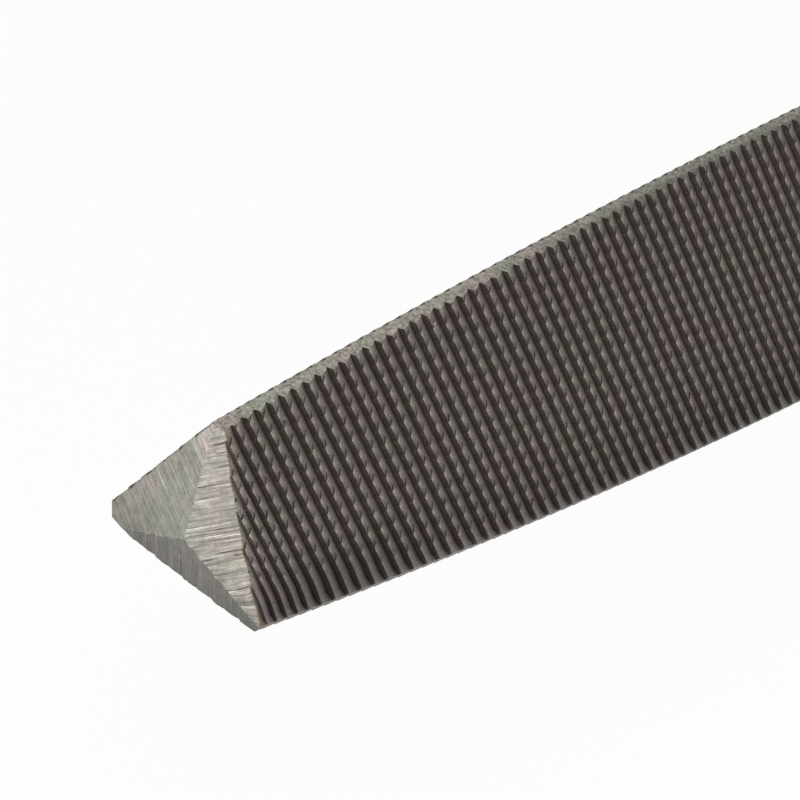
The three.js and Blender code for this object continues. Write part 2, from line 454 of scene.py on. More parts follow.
def toothLine(skin, turn, row, part):
    number, place, size = row
    share, depthShare, marks = part
    start = place + share * teeth["pitch"] * size
    depth = depthShare * teeth["depth"] * size
    low, high = lineEnds(start, depth, turn)
    # the points: a few at both ends, and the marks in every crossing between them
    rate = crossAlong * rowLean + crossOver
    base = teeth["crossStart"] - crossAlong * start
    deep = depthShare > backLine[1]
    ends = np.array(teeth["endSteps"] if deep else teeth["endSteps"][:1]) * teeth["endFade"]
    whole = np.arange(math.floor(base + rate * low) - 1, math.ceil(base + rate * high) + 1)
    phases, backs, drops = np.array(marks, dtype=float).T
    across = ((whole[:, None] + phases[None]).ravel() - base) / rate
    spare = ends[-1] + teeth["endGap"]
    inside = (across > low + spare) & (across < high - spare)
    across = np.concatenate((low + ends, across[inside], high - ends[::-1]))
    back = np.pad((np.tile(backs, len(whole)) * teeth["pitch"])[inside], len(ends))
    drop = np.pad(np.tile(drops, len(whole))[inside], len(ends))
    if depthShare < 1:
        uneven = chance.normal(0, teeth["wander"], (2, len(across)))
        uneven[:, [0, -1]] = 0
        back = back + uneven[0]
        drop = drop * (1 + uneven[1] / teeth["wander"] * teeth["dropWander"])
        drop = drop + np.abs(uneven[1]) * teeth["wear"]
    distance = start - across * rowLean
    cross = crossDepth(distance, across - low)
    bend = (1 - eased(distance / teeth["tipZone"])) * (1 - eased((across - low) / teeth["bendReach"]))
    lowShare, highShare = teeth["endShares"]
    lowHold = lerp(lowShare, 1, eased((across - low) / teeth["endFade"]))
    highHold = lerp(highShare, 1, eased((high - across) / teeth["endFade"]))
    depth = depth * np.minimum(lowHold, highHold) * tipHold(start, across, turn)
    points = facePoints(distance + back * cross - bend * teeth["endBend"], across, depth + drop * cross, turn)
    keys = base + rate * across
    lattice = np.stack((np.full(len(keys), number + share), keys), axis=-1)
    return addLine(skin, points, lattice, keys)


def plainLine(skin, turn, distance, side, flat):
    steps = np.linspace(-1, 1, blade["plainPoints"])
    distances = np.full(len(steps), distance)
    points = facePoints(distances, steps * (side / 2 - flat), 0, turn, side)
    return addLine(skin, points, np.stack((distances, steps), axis=-1), steps)


def plainSections():
    # behind the teeth, as (distance from the tip, side, flat)
    length = blade["bodyLength"]
    sections = [(place, blade["side"], blade["edgeFlat"]) for place in (length - blade["plainStart"], length)]
    for step in range(1, blade["shoulderSteps"] + 1):
        along = step / blade["shoulderSteps"]
        sections.append((
            length + blade["shoulderLength"] * along,
            lerp(blade["side"], blade["tangRootSide"], eased(along)),
            lerp(blade["edgeFlat"], blade["tangRootFlat"], eased(along)),
        ))
    end = length + blade["tangLength"]
    share = blade["tangPointShare"]
    sections.append((end - blade["tangPointLength"], blade["tangEndSide"], blade["tangEndFlat"]))
    sections.append((end, blade["tangEndSide"] * share, blade["tangEndFlat"] * share))
    return sections


def edgeChain(skin, turn, share, sections):
    # points along a flattened edge, at a share of its width from one face to the next
    start = teeth["fineLength"]
    spacing = blade["nickSpacing"]
    stop = sections[0][0] - blade["nickStop"]
    distances = np.concatenate((
        np.arange(-teeth["runPast"], start, spacing), np.arange(start, stop, spacing * blade["sparseNicks"])))
    deepest = blade["edgeNick"] * blade["deepestNick"]
    nicks = np.clip(chance.normal(0, blade["edgeNick"], len(distances)), 0, deepest)
    distances = np.concatenate((distances, [s[0] for s in sections]))
    nicks = np.concatenate((nicks, np.zeros(len(sections))))
    count = len(sections)
    side = sideAt(distances)
    flat = np.full(len(distances), blade["edgeFlat"])
    side[-count:] = [s[1] for s in sections]
    flat[-count:] = [s[2] for s in sections]
    reach = side / 2 - flat
    one = facePoints(distances, -reach, nicks, turn, side)
    other = facePoints(distances, reach, nicks, turn + 1, side)
    lattice = np.stack((distances, np.full(len(distances), share)), axis=-1)
    return addLine(skin, lerp(one, other, share), lattice, distances)


def slopeWays():
    # down each slope of the tip: unit vectors in Y and Z, the corner's last
    falls = [slope[:2] for slope in tipSlopes] + [tipCorner[1:]]
    return np.array([np.array(fall) / math.hypot(*fall) for fall in falls])


def wheelRipple(across, along):
    # uneven lines that a coarse wheel leaves, from 0 to 1
    waves = total = 0
    for size, rate, drift, phase in wheelWaves:
        waves = waves + size * np.sin(across * rate + along * drift + phase)
        total += size
    return (waves + total) / (total * 2)


def tipSurface(y, z):
    # height of the ground tip over its plane, and which slope is the lowest there
    heights = []
    for (fallY, fallZ, hollow, middle, turn, ripple), way in zip(tipSlopes, slopeWays()):
        angle = faceTurn * (1 - turn)
        hollowAcross = y * math.cos(angle) + z * math.sin(angle)
        fall = fallY * (y - tipApex[0]) + fallZ * (z - tipApex[1])
        lines = wheelRipple(z * way[0] - y * way[1], y * way[0] + z * way[1])
        heights.append(blade["tipHeight"] - fall - hollow * (hollowAcross - middle) ** 2 - ripple * lines)
    heights.append(tipCorner[0] - tipCorner[1] * y - tipCorner[2] * z)
    heights = np.stack(heights)
    return heights.min(axis=0), heights.argmin(axis=0)


def overTip(points):
    # how far points lie under the ground surface
    return tipSurface(points[..., 1], points[..., 2])[0] + tipPlane - points[..., 0]


def buildBody(skin, sections):
    # the three faces; returns the points along their lower and upper edges and at the tang's end
    last = blade["bodyLength"] - blade["plainHeel"] - blade["side"] / 2 * rowLean
    rows = rowPlaces(last)
    lowers, uppers, ends = [], [], []
    for turn in range(3):
        lines = []
        for number, place, size in rows:
            parts = fineRow if place < teeth["fineLength"] else roughRow
            if place == rows[-1][1]:
                parts = lastRow
            row = (number, place + chance.normal(0, teeth["wander"]), size)
            lines += [toothLine(skin, turn, row, part) for part in parts]
        toothed = len(lines)
        lines += [plainLine(skin, turn, *section) for section in sections]
        for place, (one, two) in enumerate(zip(lines, lines[1:])):
            if place == toothed - 1:
                one = {"ids": one["ids"], "keys": list(np.linspace(-1, 1, len(one["ids"])))}
            zipLines(skin, one, two, 0 if place < toothed - 1 else 3)
        lowers.append([line["ids"][0] for line in lines])
        uppers.append([line["ids"][-1] for line in lines])
        ends.append(lines[-1]["ids"])
    return lowers, uppers, ends


def buildEdges(skin, sections, lowers, uppers):
    points = np.concatenate(skin["points"])
    share = (1 - blade["edgeLand"] / blade["edgeFlat"]) / 2
    lands = []
    for turn in range(3):
        sides = (lowers[turn], uppers[(turn + 1) % 3])
        low, high = ({"ids": ids, "keys": list(tipPlane - points[ids][:, 0])} for ids in sides)
        chains = [edgeChain(skin, turn, part, sections) for part in (share, 1 - share)]
        path = [low, *chains, high]
        for one, two in zip(path, path[1:]):
            zipLines(skin, one, two, 1)
        lands.append([chain["ids"][-1] for chain in chains])
    return lands


def closeRear(skin, ends, lands):
    # the tang's end: a fan round its middle
    ring = []
    for turn in range(3):
        ring += ends[turn][::-1] + lands[turn]
    middle = np.concatenate(skin["points"])[ring].mean(axis=0)
    centre = addLine(skin, [middle], [(0, 0)], [0])["ids"][0]
    for one, two in zip(ring, ring[1:] + ring[:1]):
        skin["faces"].append((centre, one, two))
        skin["kinds"].append(3)


def cutTriangles(faces, kinds, inside, base):
    # keeps what lies under the tip's surface; returns the new corners as pairs of old ones, and the rim
    kept, keptKinds, cuts, segments = [], [], {}, {}

    def cut(one, two):
        return cuts.setdefault((min(one, two), max(one, two)), base + len(cuts))

    for face, kind in zip(faces, kinds):
        held = [inside[i] for i in face]
        if all(held):
            kept.append(face)
            keptKinds.append(kind)
        elif any(held):
            lead = held.index(True) if sum(held) == 1 else held.index(False)
            a, b, c = face[lead:] + face[:lead]
            ab, ac = cut(a, b), cut(a, c)
            if sum(held) == 1:
                new = [(a, ab, ac)]
                segments[ab] = ac
            else:
                new = [(ab, b, c), (ab, c, ac)]
                segments[ac] = ab
            kept += new
            keptKinds += [kind] * len(new)
    return kept, keptKinds, np.array(list(cuts)), segments


def grindTip(points, lattice, faces, kinds, passes=24):
    inside = overTip(points) > 0
    kept, keptKinds, pairs, segments = cutTriangles(faces, kinds, inside, len(points))
    one, two = points[pairs[:, 0]], points[pairs[:, 1]]
    low = np.zeros(len(pairs))
    high = np.ones(len(pairs))
    for _ in range(passes):
        middle = (low + high) / 2
        forward = (overTip(lerp(one, two, middle[:, None])) > 0) == inside[pairs[:, 0]]
        low = np.where(forward, middle, low)
        high = np.where(forward, high, middle)
    share = ((low + high) / 2)[:, None]
    points = np.concatenate((points, lerp(one, two, share)))
    lattice = np.concatenate((lattice, lattice[pairs[:, 0]] * (1 - share) + lattice[pairs[:, 1]] * share))
    print("tip cut:", len(segments), "points on its rim")
    return points, lattice, kept, keptKinds, segments


def ridgePoints(spacing):
    # places along the ridges between the tip's slopes, so that the skin bends exactly there
    ways = np.radians(np.arange(0, 360, 0.2))[:, None]
    radii = np.arange(spacing, blade["tipSide"] / math.sqrt(3), spacing)[None]
    y = tipApex[0] + radii * np.cos(ways)
    z = tipApex[1] + radii * np.sin(ways)
    slope = tipSurface(y, z)[1]
    change = slope != np.roll(slope, -1, axis=0)
    return np.stack((y[change], z[change]), axis=-1)


def insideRim(places, starts, stops, tiny=1e-12):
    # starts and stops are the ends of the rim's segments, in one loop or more
    y, z = places[:, 0][:, None], places[:, 1][:, None]
    y1, z1 = starts[:, 0], starts[:, 1]
    y2, z2 = stops[:, 0], stops[:, 1]
    crosses = (z1 > z) != (z2 > z)
    at = (y2 - y1) * (z - z1) / np.where(z2 == z1, tiny, z2 - z1) + y1
    return (crosses & (y < at)).sum(axis=1) % 2 == 1


def nearestGap(places, others, batch=2000):
    gaps = [np.sqrt(((part[:, None] - others[None]) ** 2).sum(axis=2)).min(axis=1)
            for part in np.array_split(places, max(1, len(places) // batch))]
    return np.concatenate(gaps)


def coverTip(points, segments):
    # fills the cut with the ground surface: its ridges, and an uneven grid that keeps clear of them
    spacing = blade["tipSpacing"]
    rim = list(segments)
    order = {point: place for place, point in enumerate(rim)}
    ring = points[rim][:, 1:]
    stops = points[list(segments.values())][:, 1:]
    ridges = ridgePoints(spacing * 0.5)
    steps = np.arange(-blade["tipSide"], blade["tipSide"], spacing)
    y, z = np.meshgrid(steps, steps)
    y = y + (np.arange(len(steps)) % 2)[:, None] * spacing / 2
    grid = np.stack((y.ravel(), z.ravel()), axis=-1)
    grid += chance.uniform(-0.25, 0.25, grid.shape) * spacing
    grid = grid[nearestGap(grid, ridges) > spacing * 0.6]
    inner = np.concatenate((ridges, grid))
    inner = inner[insideRim(inner, ring, stops)]
    inner = inner[nearestGap(inner, ring) > spacing * 0.4]
    flat = [Vector(p) for p in np.concatenate((ring, inner))]
    loops = [(order[one], order[two]) for one, two in segments.items()]
    made, _, triangles, sources, _, _ = delaunay_2d_cdt(flat, loops, [], 0, 1e-6, True)
    spots = np.array([tuple(p) for p in made])
    triangles = np.array(triangles)
    triangles = triangles[insideRim(spots[triangles].mean(axis=1), ring, stops)]
    heights, _ = tipSurface(spots[:, 0], spots[:, 1])
    ids, fresh = [], []
    for spot, height, source in zip(spots, heights, sources):
        known = [s for s in source if s < len(rim)]
        if known:
            ids.append(rim[known[0]])
        else:
            ids.append(len(points) + len(fresh))
            fresh.append((tipPlane + height, spot[0], spot[1]))
    return np.concatenate((points, fresh)), np.array(ids)[triangles]


def tipCorners(points, faces):
    # grinding marks run down each slope: a map with the fall line along U
    corners = points[faces]
    middle = corners.mean(axis=1)
    slope = tipSurface(middle[:, 1], middle[:, 2])[1]
    ways = slopeWays()[slope]
    y, z = corners[..., 1], corners[..., 2]
    along = y * ways[:, 0, None] + z * ways[:, 1, None]
    across = z * ways[:, 0, None] - y * ways[:, 1, None]
    fan = np.clip(tipMarks["fanStart"] - z, 0, None) * (along - tipMarks["fanPivot"]) * tipMarks["fan"]
    bent = across + fan - along * tipMarks["lean"]
    across = np.where(slope[:, None] == 0, bent, across) + slope[:, None] * tipMarks["slopeOffset"]
    return np.stack((along, across), axis=-1)


def crossAt(points):
    # how deep the first cut is at points of the three faces
    ways = halfCorner - np.arange(3) * faceTurn
    y, z = points[:, 1, None], points[:, 2, None]
    out = y * np.cos(ways) + z * np.sin(ways)
    across = z * np.cos(ways) - y * np.sin(ways)
    across = across[np.arange(len(points)), out.argmax(axis=1)]
    distance = tipPlane - points[:, 0]
    return crossDepth(distance, across + sideAt(distance) / 2 - blade["edgeFlat"])


def makeBlade(surfaces):
    skin = {"points": [], "lattice": [], "count": 0, "faces": [], "kinds": []}
    sections = plainSections()
    lowers, uppers, ends = buildBody(skin, sections)
    lands = buildEdges(skin, sections, lowers, uppers)
    closeRear(skin, ends, lands)
    points = np.concatenate(skin["points"])
    lattice = np.concatenate(skin["lattice"])
    print("blade skin:", len(skin["faces"]), "triangles before the tip is ground")
    points, lattice, faces, kinds, segments = grindTip(points, lattice, skin["faces"], skin["kinds"])
    fresh = len(points)
    points, tipFaces = coverTip(points, segments)
    corners = np.concatenate((lattice[np.array(faces)], tipCorners(points, tipFaces)))
    allFaces = np.concatenate((faces, tipFaces))
    used, numbered = np.unique(allFaces, return_inverse=True)
    # the second map holds the distance to the ground tip's border and the depth of the first cut
    rim = list(segments)
    border = overTip(points)
    border[rim] = 0
    border[fresh:] = nearestGap(points[fresh:, 1:], points[rim][:, 1:])
    borderCorners = np.stack((border[allFaces], crossAt(points)[allFaces]), axis=-1)
    piece = makePiece(
        "triangular_file_blade", points[used] * mm, numbered.reshape(-1, 3).tolist(), surfaces,
        np.array(kinds + [2] * len(tipFaces)), blade["sharpAngle"])
    addMap(piece, "workMap", corners)
    addMap(piece, "borderMap", borderCorners)
    print("blade:", len(piece.data.polygons), "triangles")
    return piece


# What the steel finishes share: speckle, bright and dark grains (the bright ones are painted glints on the
# teeth), tinted patches, rust specks, tip stain

skinScales = {
    "speckle": 15000,
    "grains": 21000,
    "patches": 600,
    "rustSpecks": 3800,
    "rustPlaces": 420,
}
rustColour = (0.2, 0.095, 0.035, 1)


def makeSteelSkinGroup():
    tree, given = newGroup("steelSkin", {"Place": "Vector"})
    place = given["Place"]
    grain = noise(place, skinScales["grains"], 1, 0.5)
    patches = noise(place, skinScales["patches"], 4, 0.62)
    specks = remap(noise(place, skinScales["rustSpecks"], 2, 0.6), 0.66, 0.72)
    where = remap(noise(place, skinScales["rustPlaces"], 2, 0.5), 0.52, 0.66)
    putOut(tree, {
        "Speckle": noise(place, skinScales["speckle"], 3, 0.65),
        "GrainGlints": remap(grain, 0.62, 0.72),
        "Pits": remap(grain, 0.38, 0.3),
        "Patches": patches,
        "Tint": remap(patches, 0.4, 0.6),
        "Rust": multiplied(specks, where),
    })
    return tree


def makeTipStainGroup():
    # in patches along the border of the ground tip; Thin and Full are levels of the patches
    names = ("Border", "Patches", "Start", "Stop", "Strength", "Thin", "Full")
    tree, given = newGroup("tipStain", dict.fromkeys(names, "Float"))
    near = remap(given["Border"], given["Start"], given["Stop"], given["Strength"], 0)
    patches = remap(given["Patches"], given["Thin"], given["Full"])
    putOut(tree, {"Stain": multiplied(near, patches)})
    return tree


steelSkin = makeSteelSkinGroup()
tipStain = makeTipStainGroup()


def newSteel(name, metallic, roughness):
    material, shader = newMaterial(name, {"Metallic": metallic, "Roughness": roughness})
    place = objectPlace(material.node_tree)
    skin = newNode("ShaderNodeGroup", {"Place": place}, node_tree=steelSkin).outputs
    return material, shader, place, skin


def rusted(skin, colour, share):
    return blendColour(multiplied(skin["Rust"], share), colour, rustColour)


def stained(skin, colour, finish):
    # brown where the teeth meet the ground tip
    border = split(mapPlace(colour, "borderMap"))["X"]
    inputs = {"Border": border, "Patches": skin["Patches"], **finish["stainPlace"]}
    stain = newNode("ShaderNodeGroup", inputs, node_tree=tipStain).outputs["Stain"]
    return blendColour(stain, colour, finish["stain"])


def behindTip(places):
    # places along X, from millimetres behind the tip
    return [(tipPlane - place) * mm for place in places]


toothFinish = {
    "tints": ((0.092, 0.0865, 0.0715, 1), (0.1, 0.08, 0.079, 1)),  # greenish and purplish grey
    "front": (0.107, 0.086, 0.0755, 1),  # brown soot on the fronts of the teeth
    "stain": (0.075, 0.05, 0.028, 1),
    # starts and stops in millimetres from the ground tip
    "stainPlace": {"Start": 0, "Stop": 0.22, "Strength": 0.6, "Thin": 0.42, "Full": 0.55},
    "rust": 0.7,
    "roughness": (0.62, 0.44),
    "speckle": (0.68, 1.32),
    # the first tone is a painted highlight on the point of each tooth
    "peakHighlight": 1.28,  # from here to the corner they are tones, as shares of the colour
    # bright grains on the backs of the teeth: painted glints
    "grain": 1.7,
    # painted shade in the step of the first cut beside each point
    "step": 0.12,
    # painted shade in the hollow of each crossing of the first cut
    "low": 0.8,
    # painted shade towards the foot of each tooth, by the next gap
    "footShade": 0.92,
    "pit": 0.7,
    "under": 0.74,  # towards the lower edge
    "corner": 0.72,  # and once more beside the tip's lower corner
    "underHeights": (0.0, -0.0026),  # where it starts and is full, in metres
    "cornerHeights": (-0.0003, -0.0014),
    "cornerPlaces": (9, 4),  # in millimetres behind the tip
}

# Where a tooth's painted highlight and painted shades lie: (start, stop, softness) in a crossing of the first
# cut, and in the pitch
toothSpots = {
    "peakHighlight": ((0.7, 0.95, 0.06), (0.08, 0.2, 0.12)),  # painted highlight on the point of each tooth
    "step": ((0.0, 0.06, 0.02), (0.13, 0.56, 0.06)),  # painted shade in the step beside it
    # painted shade in the hollow of each crossing
    "low": ((0.05, 0.4, 0.08), (0.08, 0.4, 0.1)),
}


def makeToothSteel():
    material, shader, place, skin = newSteel("toothSteel", 0.85, 0.55)
    work = split(mapPlace(place, "workMap"))
    along = maths("FRACT", work["X"])
    phase = maths("FRACT", work["Y"])
    cross = split(mapPlace(place, "borderMap"))["Y"]
    axes = split(place)
    nearTip = remap(axes["X"], *behindTip(toothFinish["cornerPlaces"]))
    amounts = {
        name: multiplied(band(phase, *phases), band(along, *shares), cross)
        for name, (phases, shares) in toothSpots.items()
    }
    # bright grains over the backs next to the crests: painted glints
    amounts["grain"] = multiplied(skin["GrainGlints"], band(along, 0.08, 0.55, 0.15))
    # painted shade towards the foot of each tooth, by the next gap
    amounts["footShade"] = remap(along, 0.72, 1.0)
    amounts["pit"] = skin["Pits"]
    amounts["under"] = remap(axes["Z"], *toothFinish["underHeights"])
    amounts["corner"] = multiplied(nearTip, remap(axes["Z"], *toothFinish["cornerHeights"]))
    tone = multiplied(spread(skin["Speckle"], *toothFinish["speckle"]), toned(toothFinish, amounts))
    tint = blendColour(skin["Tint"], *toothFinish["tints"])
    tint = blendColour(remap(along, 0.07, 0.09, 1, 0), tint, toothFinish["front"])
    colour = stained(skin, shade(tint, tone), toothFinish)
    colour = rusted(skin, colour, toothFinish["rust"])
    height = maths("ADD", skin["Speckle"], skin["GrainGlints"])
    roughness = spread(skin["Speckle"], *toothFinish["roughness"])
    connect(shader, colour, roughness, height, 0.35, 0.00002)
    return material


edgeFinish = {
    "tints": ((0.31, 0.315, 0.26, 1), (0.36, 0.315, 0.285, 1)),  # greenish and pinkish
    "mottle": 5200,
    "mottleTones": (0.6, 1.22),
    "speckle": (0.7, 1.3),
    "rust": 0.8,
    "grain": 1.7,
    "pit": 0.3,
    "under": 0.35,  # painted shade: the lower edges are darker than the upper one
    "away": 0.76,  # and it dulls away from the ground tip
    "side": 0.5,  # most on the side towards the teeth
    "awayPlaces": (11, 23),  # where it starts and is full, in millimetres behind the tip
    "underHeights": (-0.0012, -0.0018),  # the same in metres
    "sidePlaces": (-0.0001, 0.0003),
}


def makeEdgeSteel():
    material, shader, place, skin = newSteel("edgeSteel", 0.9, 0.48)
    axes = split(place)
    mottle = noise(place, edgeFinish["mottle"], 3, 0.7)
    away = remap(axes["X"], *behindTip(edgeFinish["awayPlaces"]))
    amounts = {
        "grain": skin["GrainGlints"],
        "pit": skin["Pits"],
        # painted shade on the lower edges
        "under": remap(axes["Z"], *edgeFinish["underHeights"]),
        "away": away,
        "side": multiplied(away, remap(axes["Y"], *edgeFinish["sidePlaces"])),
    }
    tone = multiplied(
        remap(mottle, 0.36, 0.62, *edgeFinish["mottleTones"]),
        spread(skin["Speckle"], *edgeFinish["speckle"]),
        toned(edgeFinish, amounts),
    )
    colour = shade(blendColour(skin["Tint"], *edgeFinish["tints"]), tone)
    colour = rusted(skin, colour, edgeFinish["rust"])
    connect(shader, colour, None, maths("ADD", mottle, skin["Speckle"]), 0.5, 0.00004)
    return material


tipFinish = {
    "tints": ((0.43, 0.435, 0.37, 1), (0.49, 0.44, 0.4, 1)),  # greenish and pinkish
    "stain": (0.13, 0.09, 0.05, 1),
    "stainPlace": {"Start": 0.01, "Stop": 0.07, "Strength": 0.75, "Thin": 0.44, "Full": 0.56},
    "lines": 6.0,  # deep grinding marks for each millimetre across them
    "closeLines": 9,
    "fineLines": 17,
    "drift": 0.07,  # how soon a mark changes along its length
    "slopeShadeTones": (0.92, 0.46, 0.77, 1.08),  # painted shade: the two lower slopes are darker
    "slopeMarks": (1.22, 0.5, 0.7, 0.85),  # how strong the marks are on each
    "blotches": 0.17,
    "roughness": (0.46, 0.32),
    # painted shade in the deep cuts and a painted highlight on their burrs
    "cut": 0.34,
    "crest": 1.6,
    "pit": 0.55,
    "under": 0.74,  # towards the lower corner
    "underHeights": (0.0, -0.0022),  # where it starts and is full, in metres
}


def bySlope(number, values):
    total = 0.0
    for count, value in enumerate(values):
        here = maths("COMPARE", number, count, 0.5)
        total = maths("ADD", total, multiplied(here, value))
    return total


def makeGroundTip():
    material, shader, body, skin = newSteel("groundTip", 1.0, 0.38)
    place = mapPlace(body, "workMap")
    drift = tipFinish["drift"]
    coarse = streaks(place, (drift, tipFinish["lines"], 1), 2, 0.8)
    close = streaks(place, (drift * 5, tipFinish["closeLines"], 1), 3, 0.8)
    fine = streaks(place, (drift * 6, tipFinish["fineLines"], 1), 3, 0.75)
    broken = remap(streaks(place, (0.9, 3, 1), 2, 0.6), 0.42, 0.56)
    number = maths("ROUND", maths("DIVIDE", split(place)["Y"], tipMarks["slopeOffset"]))
    marks = bySlope(number, tipFinish["slopeMarks"])
    # painted shade in the deep cuts, with a painted highlight on the burr beside them
    cuts = multiplied(remap(coarse, 0.4, 0.36), broken, marks)
    burrs = maths("MAXIMUM", band(coarse, 0.415, 0.44, 0.012), remap(coarse, 0.62, 0.66))
    crests = multiplied(burrs, broken, marks)
    fineMarks = maths("ADD", remap(close, 0.38, 0.62, -0.3, 0.3), remap(fine, 0.34, 0.66, -0.18, 0.18))
    blotch = tipFinish["blotches"]
    amounts = {
        "cut": cuts,
        "crest": crests,
        "pit": skin["Pits"],
        "under": remap(split(body)["Z"], *tipFinish["underHeights"]),
    }
    tone = multiplied(
        maths("ADD", multiplied(fineMarks, marks), 1.0),
        remap(noise(body, 2600, 4, 0.7), 0.35, 0.65, 1 - blotch, 1 + blotch),
        # painted shade for each slope, darker on the lower two
        bySlope(number, tipFinish["slopeShadeTones"]),
        toned(tipFinish, amounts),
    )
    colour = shade(blendColour(skin["Tint"], *tipFinish["tints"]), tone)
    colour = stained(skin, colour, tipFinish)
    height = maths("SUBTRACT", maths("ADD", close, crests), cuts)
    connect(shader, colour, spread(fine, *tipFinish["roughness"]), height, 0.6, 0.00005)
    return material


forgedFinish = {
    "dark": (0.07, 0.065, 0.06, 1),
    "light": (0.15, 0.14, 0.13, 1),
    "scale": 900,
    "rust": 0.8,
}


def makeForgedSteel():
    material, shader, place, skin = newSteel("forgedSteel", 0.8, 0.5)
    scale = noise(place, forgedFinish["scale"], 5, 0.6)
    colour = blendColour(remap(scale, 0.35, 0.65), forgedFinish["dark"], forgedFinish["light"])
    colour = rusted(skin, colour, forgedFinish["rust"])
    connect(shader, colour, spread(scale, 0.35, 0.6), scale, 0.3, 0.0001)
    return material


bladePiece = makeBlade([makeToothSteel(), makeEdgeSteel(), makeGroundTip(), makeForgedSteel()])
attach(bladePiece, "root")
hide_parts("file_blade")
print("blade done")


# Turned pieces: rings of points round the X axis, joined into a closed skin

def arcRings(place, radius, wide, high, start, stop, steps):
    # rings on an arc round a place and radius; its angles are degrees from +X outwards
    turns = np.radians(np.linspace(start, stop, steps + 1))
    return [(place + wide * math.cos(turn), radius + high * math.sin(turn)) for turn in turns]


def turnedSkin(name, makeRings, values, surface, closed=False):
    # rings are (place along X, radius or one radius for each angle); closed joins the last ring to the first
    count = values["sides"]
    angles = np.arange(count) * 2 * math.pi / count
    rings = makeRings(angles)
    points = []
    for along, radius in rings:
        y, z = radius * np.cos(angles), radius * np.sin(angles)
        points.append(np.stack((np.full(count, along), y, z), axis=-1))
    faces = []
    for one in range(len(rings) if closed else len(rings) - 1):
        two = (one + 1) % len(rings)
        for j in range(count):
            k = (j + 1) % count
            faces.append((one * count + k, one * count + j, two * count + j, two * count + k))
    if not closed:
        points.append([(rings[0][0], 0, 0), (rings[-1][0], 0, 0)])
        last = len(rings) * count
        for j in range(count):
            k = (j + 1) % count
            faces.append((last, j, k))
            faces.append((last + 1, last - count + k, last - count + j))
    return makePiece(name, np.concatenate(points) * mm, faces, [surface], sharpAngle=values["sharpAngle"])


# Handle: turned beech with a blind hole for the tang, sizes in millimetres from the butt

handle = {
    "buttFlatRadius": 6.5,
    "buttRings": (0.25, 0.5, 0.75, 0.94),  # rings on the flat, as shares of its radius
    "buttRoundLength": 9,
    "gripPlace": 22,
    "waistRadius": 10.2,
    "waistPlace": 56,
    "swellRadius": 11.4,
    "swellPlace": 76,
    "collarRadius": 9.35,
    "collarPlace": 86.8,
    "seatRadius": 7.9,
    "noseRadius": 7.4,
    "noseTaper": 0.01,
    "noseRing": 1.2,  # round the hole on the nose's end
    "edgeRound": 0.35,
    "scribes": (66.0, 69.5),  # two burnt rings in front of the grip
    "scribeWidth": 0.7,
    "scribeDepth": 0.35,
    "scribeRings": 13,
    "holeClearance": 0.3,
    "holeBottomGap": 0.5,
    "step": 0.9,
    "sides": 128,
    "sharpAngle": 30,
}


def scribeCut(along):
    cut = sum(np.exp(-((along - place) / (handle["scribeWidth"] / 2)) ** 2) for place in handle["scribes"])
    return cut * handle["scribeDepth"]


def handleRadius(along, grip):
    # swells and waist, eased into each other
    stations = [(handle["buttRoundLength"], grip), (handle["gripPlace"], grip)]
    stations += [(handle[name + "Place"], handle[name + "Radius"]) for name in ("waist", "swell", "collar")]
    for (fromPlace, fromRadius), (toPlace, toRadius) in zip(stations, stations[1:]):
        if along <= toPlace:
            share = eased((along - fromPlace) / (toPlace - fromPlace))
            return lerp(fromRadius, toRadius, share) - scribeCut(along)
    return handle["collarRadius"]


def holeRadii(angles, side, flat):
    # the tang's three faces and flattened edges, grown by the clearance
    def reach(distance, turn):
        off = (angles - turn + faceTurn / 2) % faceTurn - faceTurn / 2
        return (distance + handle["holeClearance"]) / np.cos(off)

    faces = reach(side / 2 * math.tan(halfCorner), halfCorner)
    edges = reach(side / math.sqrt(3) - flat * math.cos(halfCorner), halfCorner + faceTurn / 2)
    return np.minimum(faces, edges)


def handleRings(angles):
    nose, grip = (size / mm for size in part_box("handle")[1].xy)
    flat = handle["buttFlatRadius"]
    length = handle["buttRoundLength"]
    edge = handle["edgeRound"]
    end = handle["collarPlace"] - edge
    places = set(np.arange(length + handle["step"], end, handle["step"]))
    for scribe in handle["scribes"]:
        places |= set(scribe + np.linspace(-1, 1, handle["scribeRings"]) * handle["scribeWidth"])
    return [
        *[(0, flat * share) for share in handle["buttRings"]],
        *arcRings(length, flat, length, grip - flat, 180, 90, 12)[1:],
        *[(place, handleRadius(place, grip)) for place in sorted(places | {end})],
        *arcRings(end, handle["collarRadius"] - edge, edge, edge, 90, 0, 4)[1:],
        (handle["collarPlace"], handle["seatRadius"]),
        (nose - edge, handle["noseRadius"] + handle["noseTaper"]),
        (nose, handle["noseRadius"] - edge),
        *holeRings(angles, nose),
    ]


def holeRings(angles, nose):
    root = blade["bodyLength"] + blade["shoulderLength"]
    end = blade["bodyLength"] + blade["tangLength"]
    straight = end - blade["tangPointLength"]
    along = (tipPlane - nose - root) / (straight - root)
    side = lerp(blade["tangRootSide"], blade["tangEndSide"], along)
    flat = lerp(blade["tangRootFlat"], blade["tangEndFlat"], along)
    share = blade["tangPointShare"]
    bottom = tipPlane - end - handle["holeBottomGap"]
    return [
        (nose, holeRadii(angles, side, flat) + handle["noseRing"]),
        (nose, holeRadii(angles, side, flat)),
        (tipPlane - straight, holeRadii(angles, blade["tangEndSide"], blade["tangEndFlat"])),
        (bottom, holeRadii(angles, blade["tangEndSide"] * share, blade["tangEndFlat"] * share)),
    ]


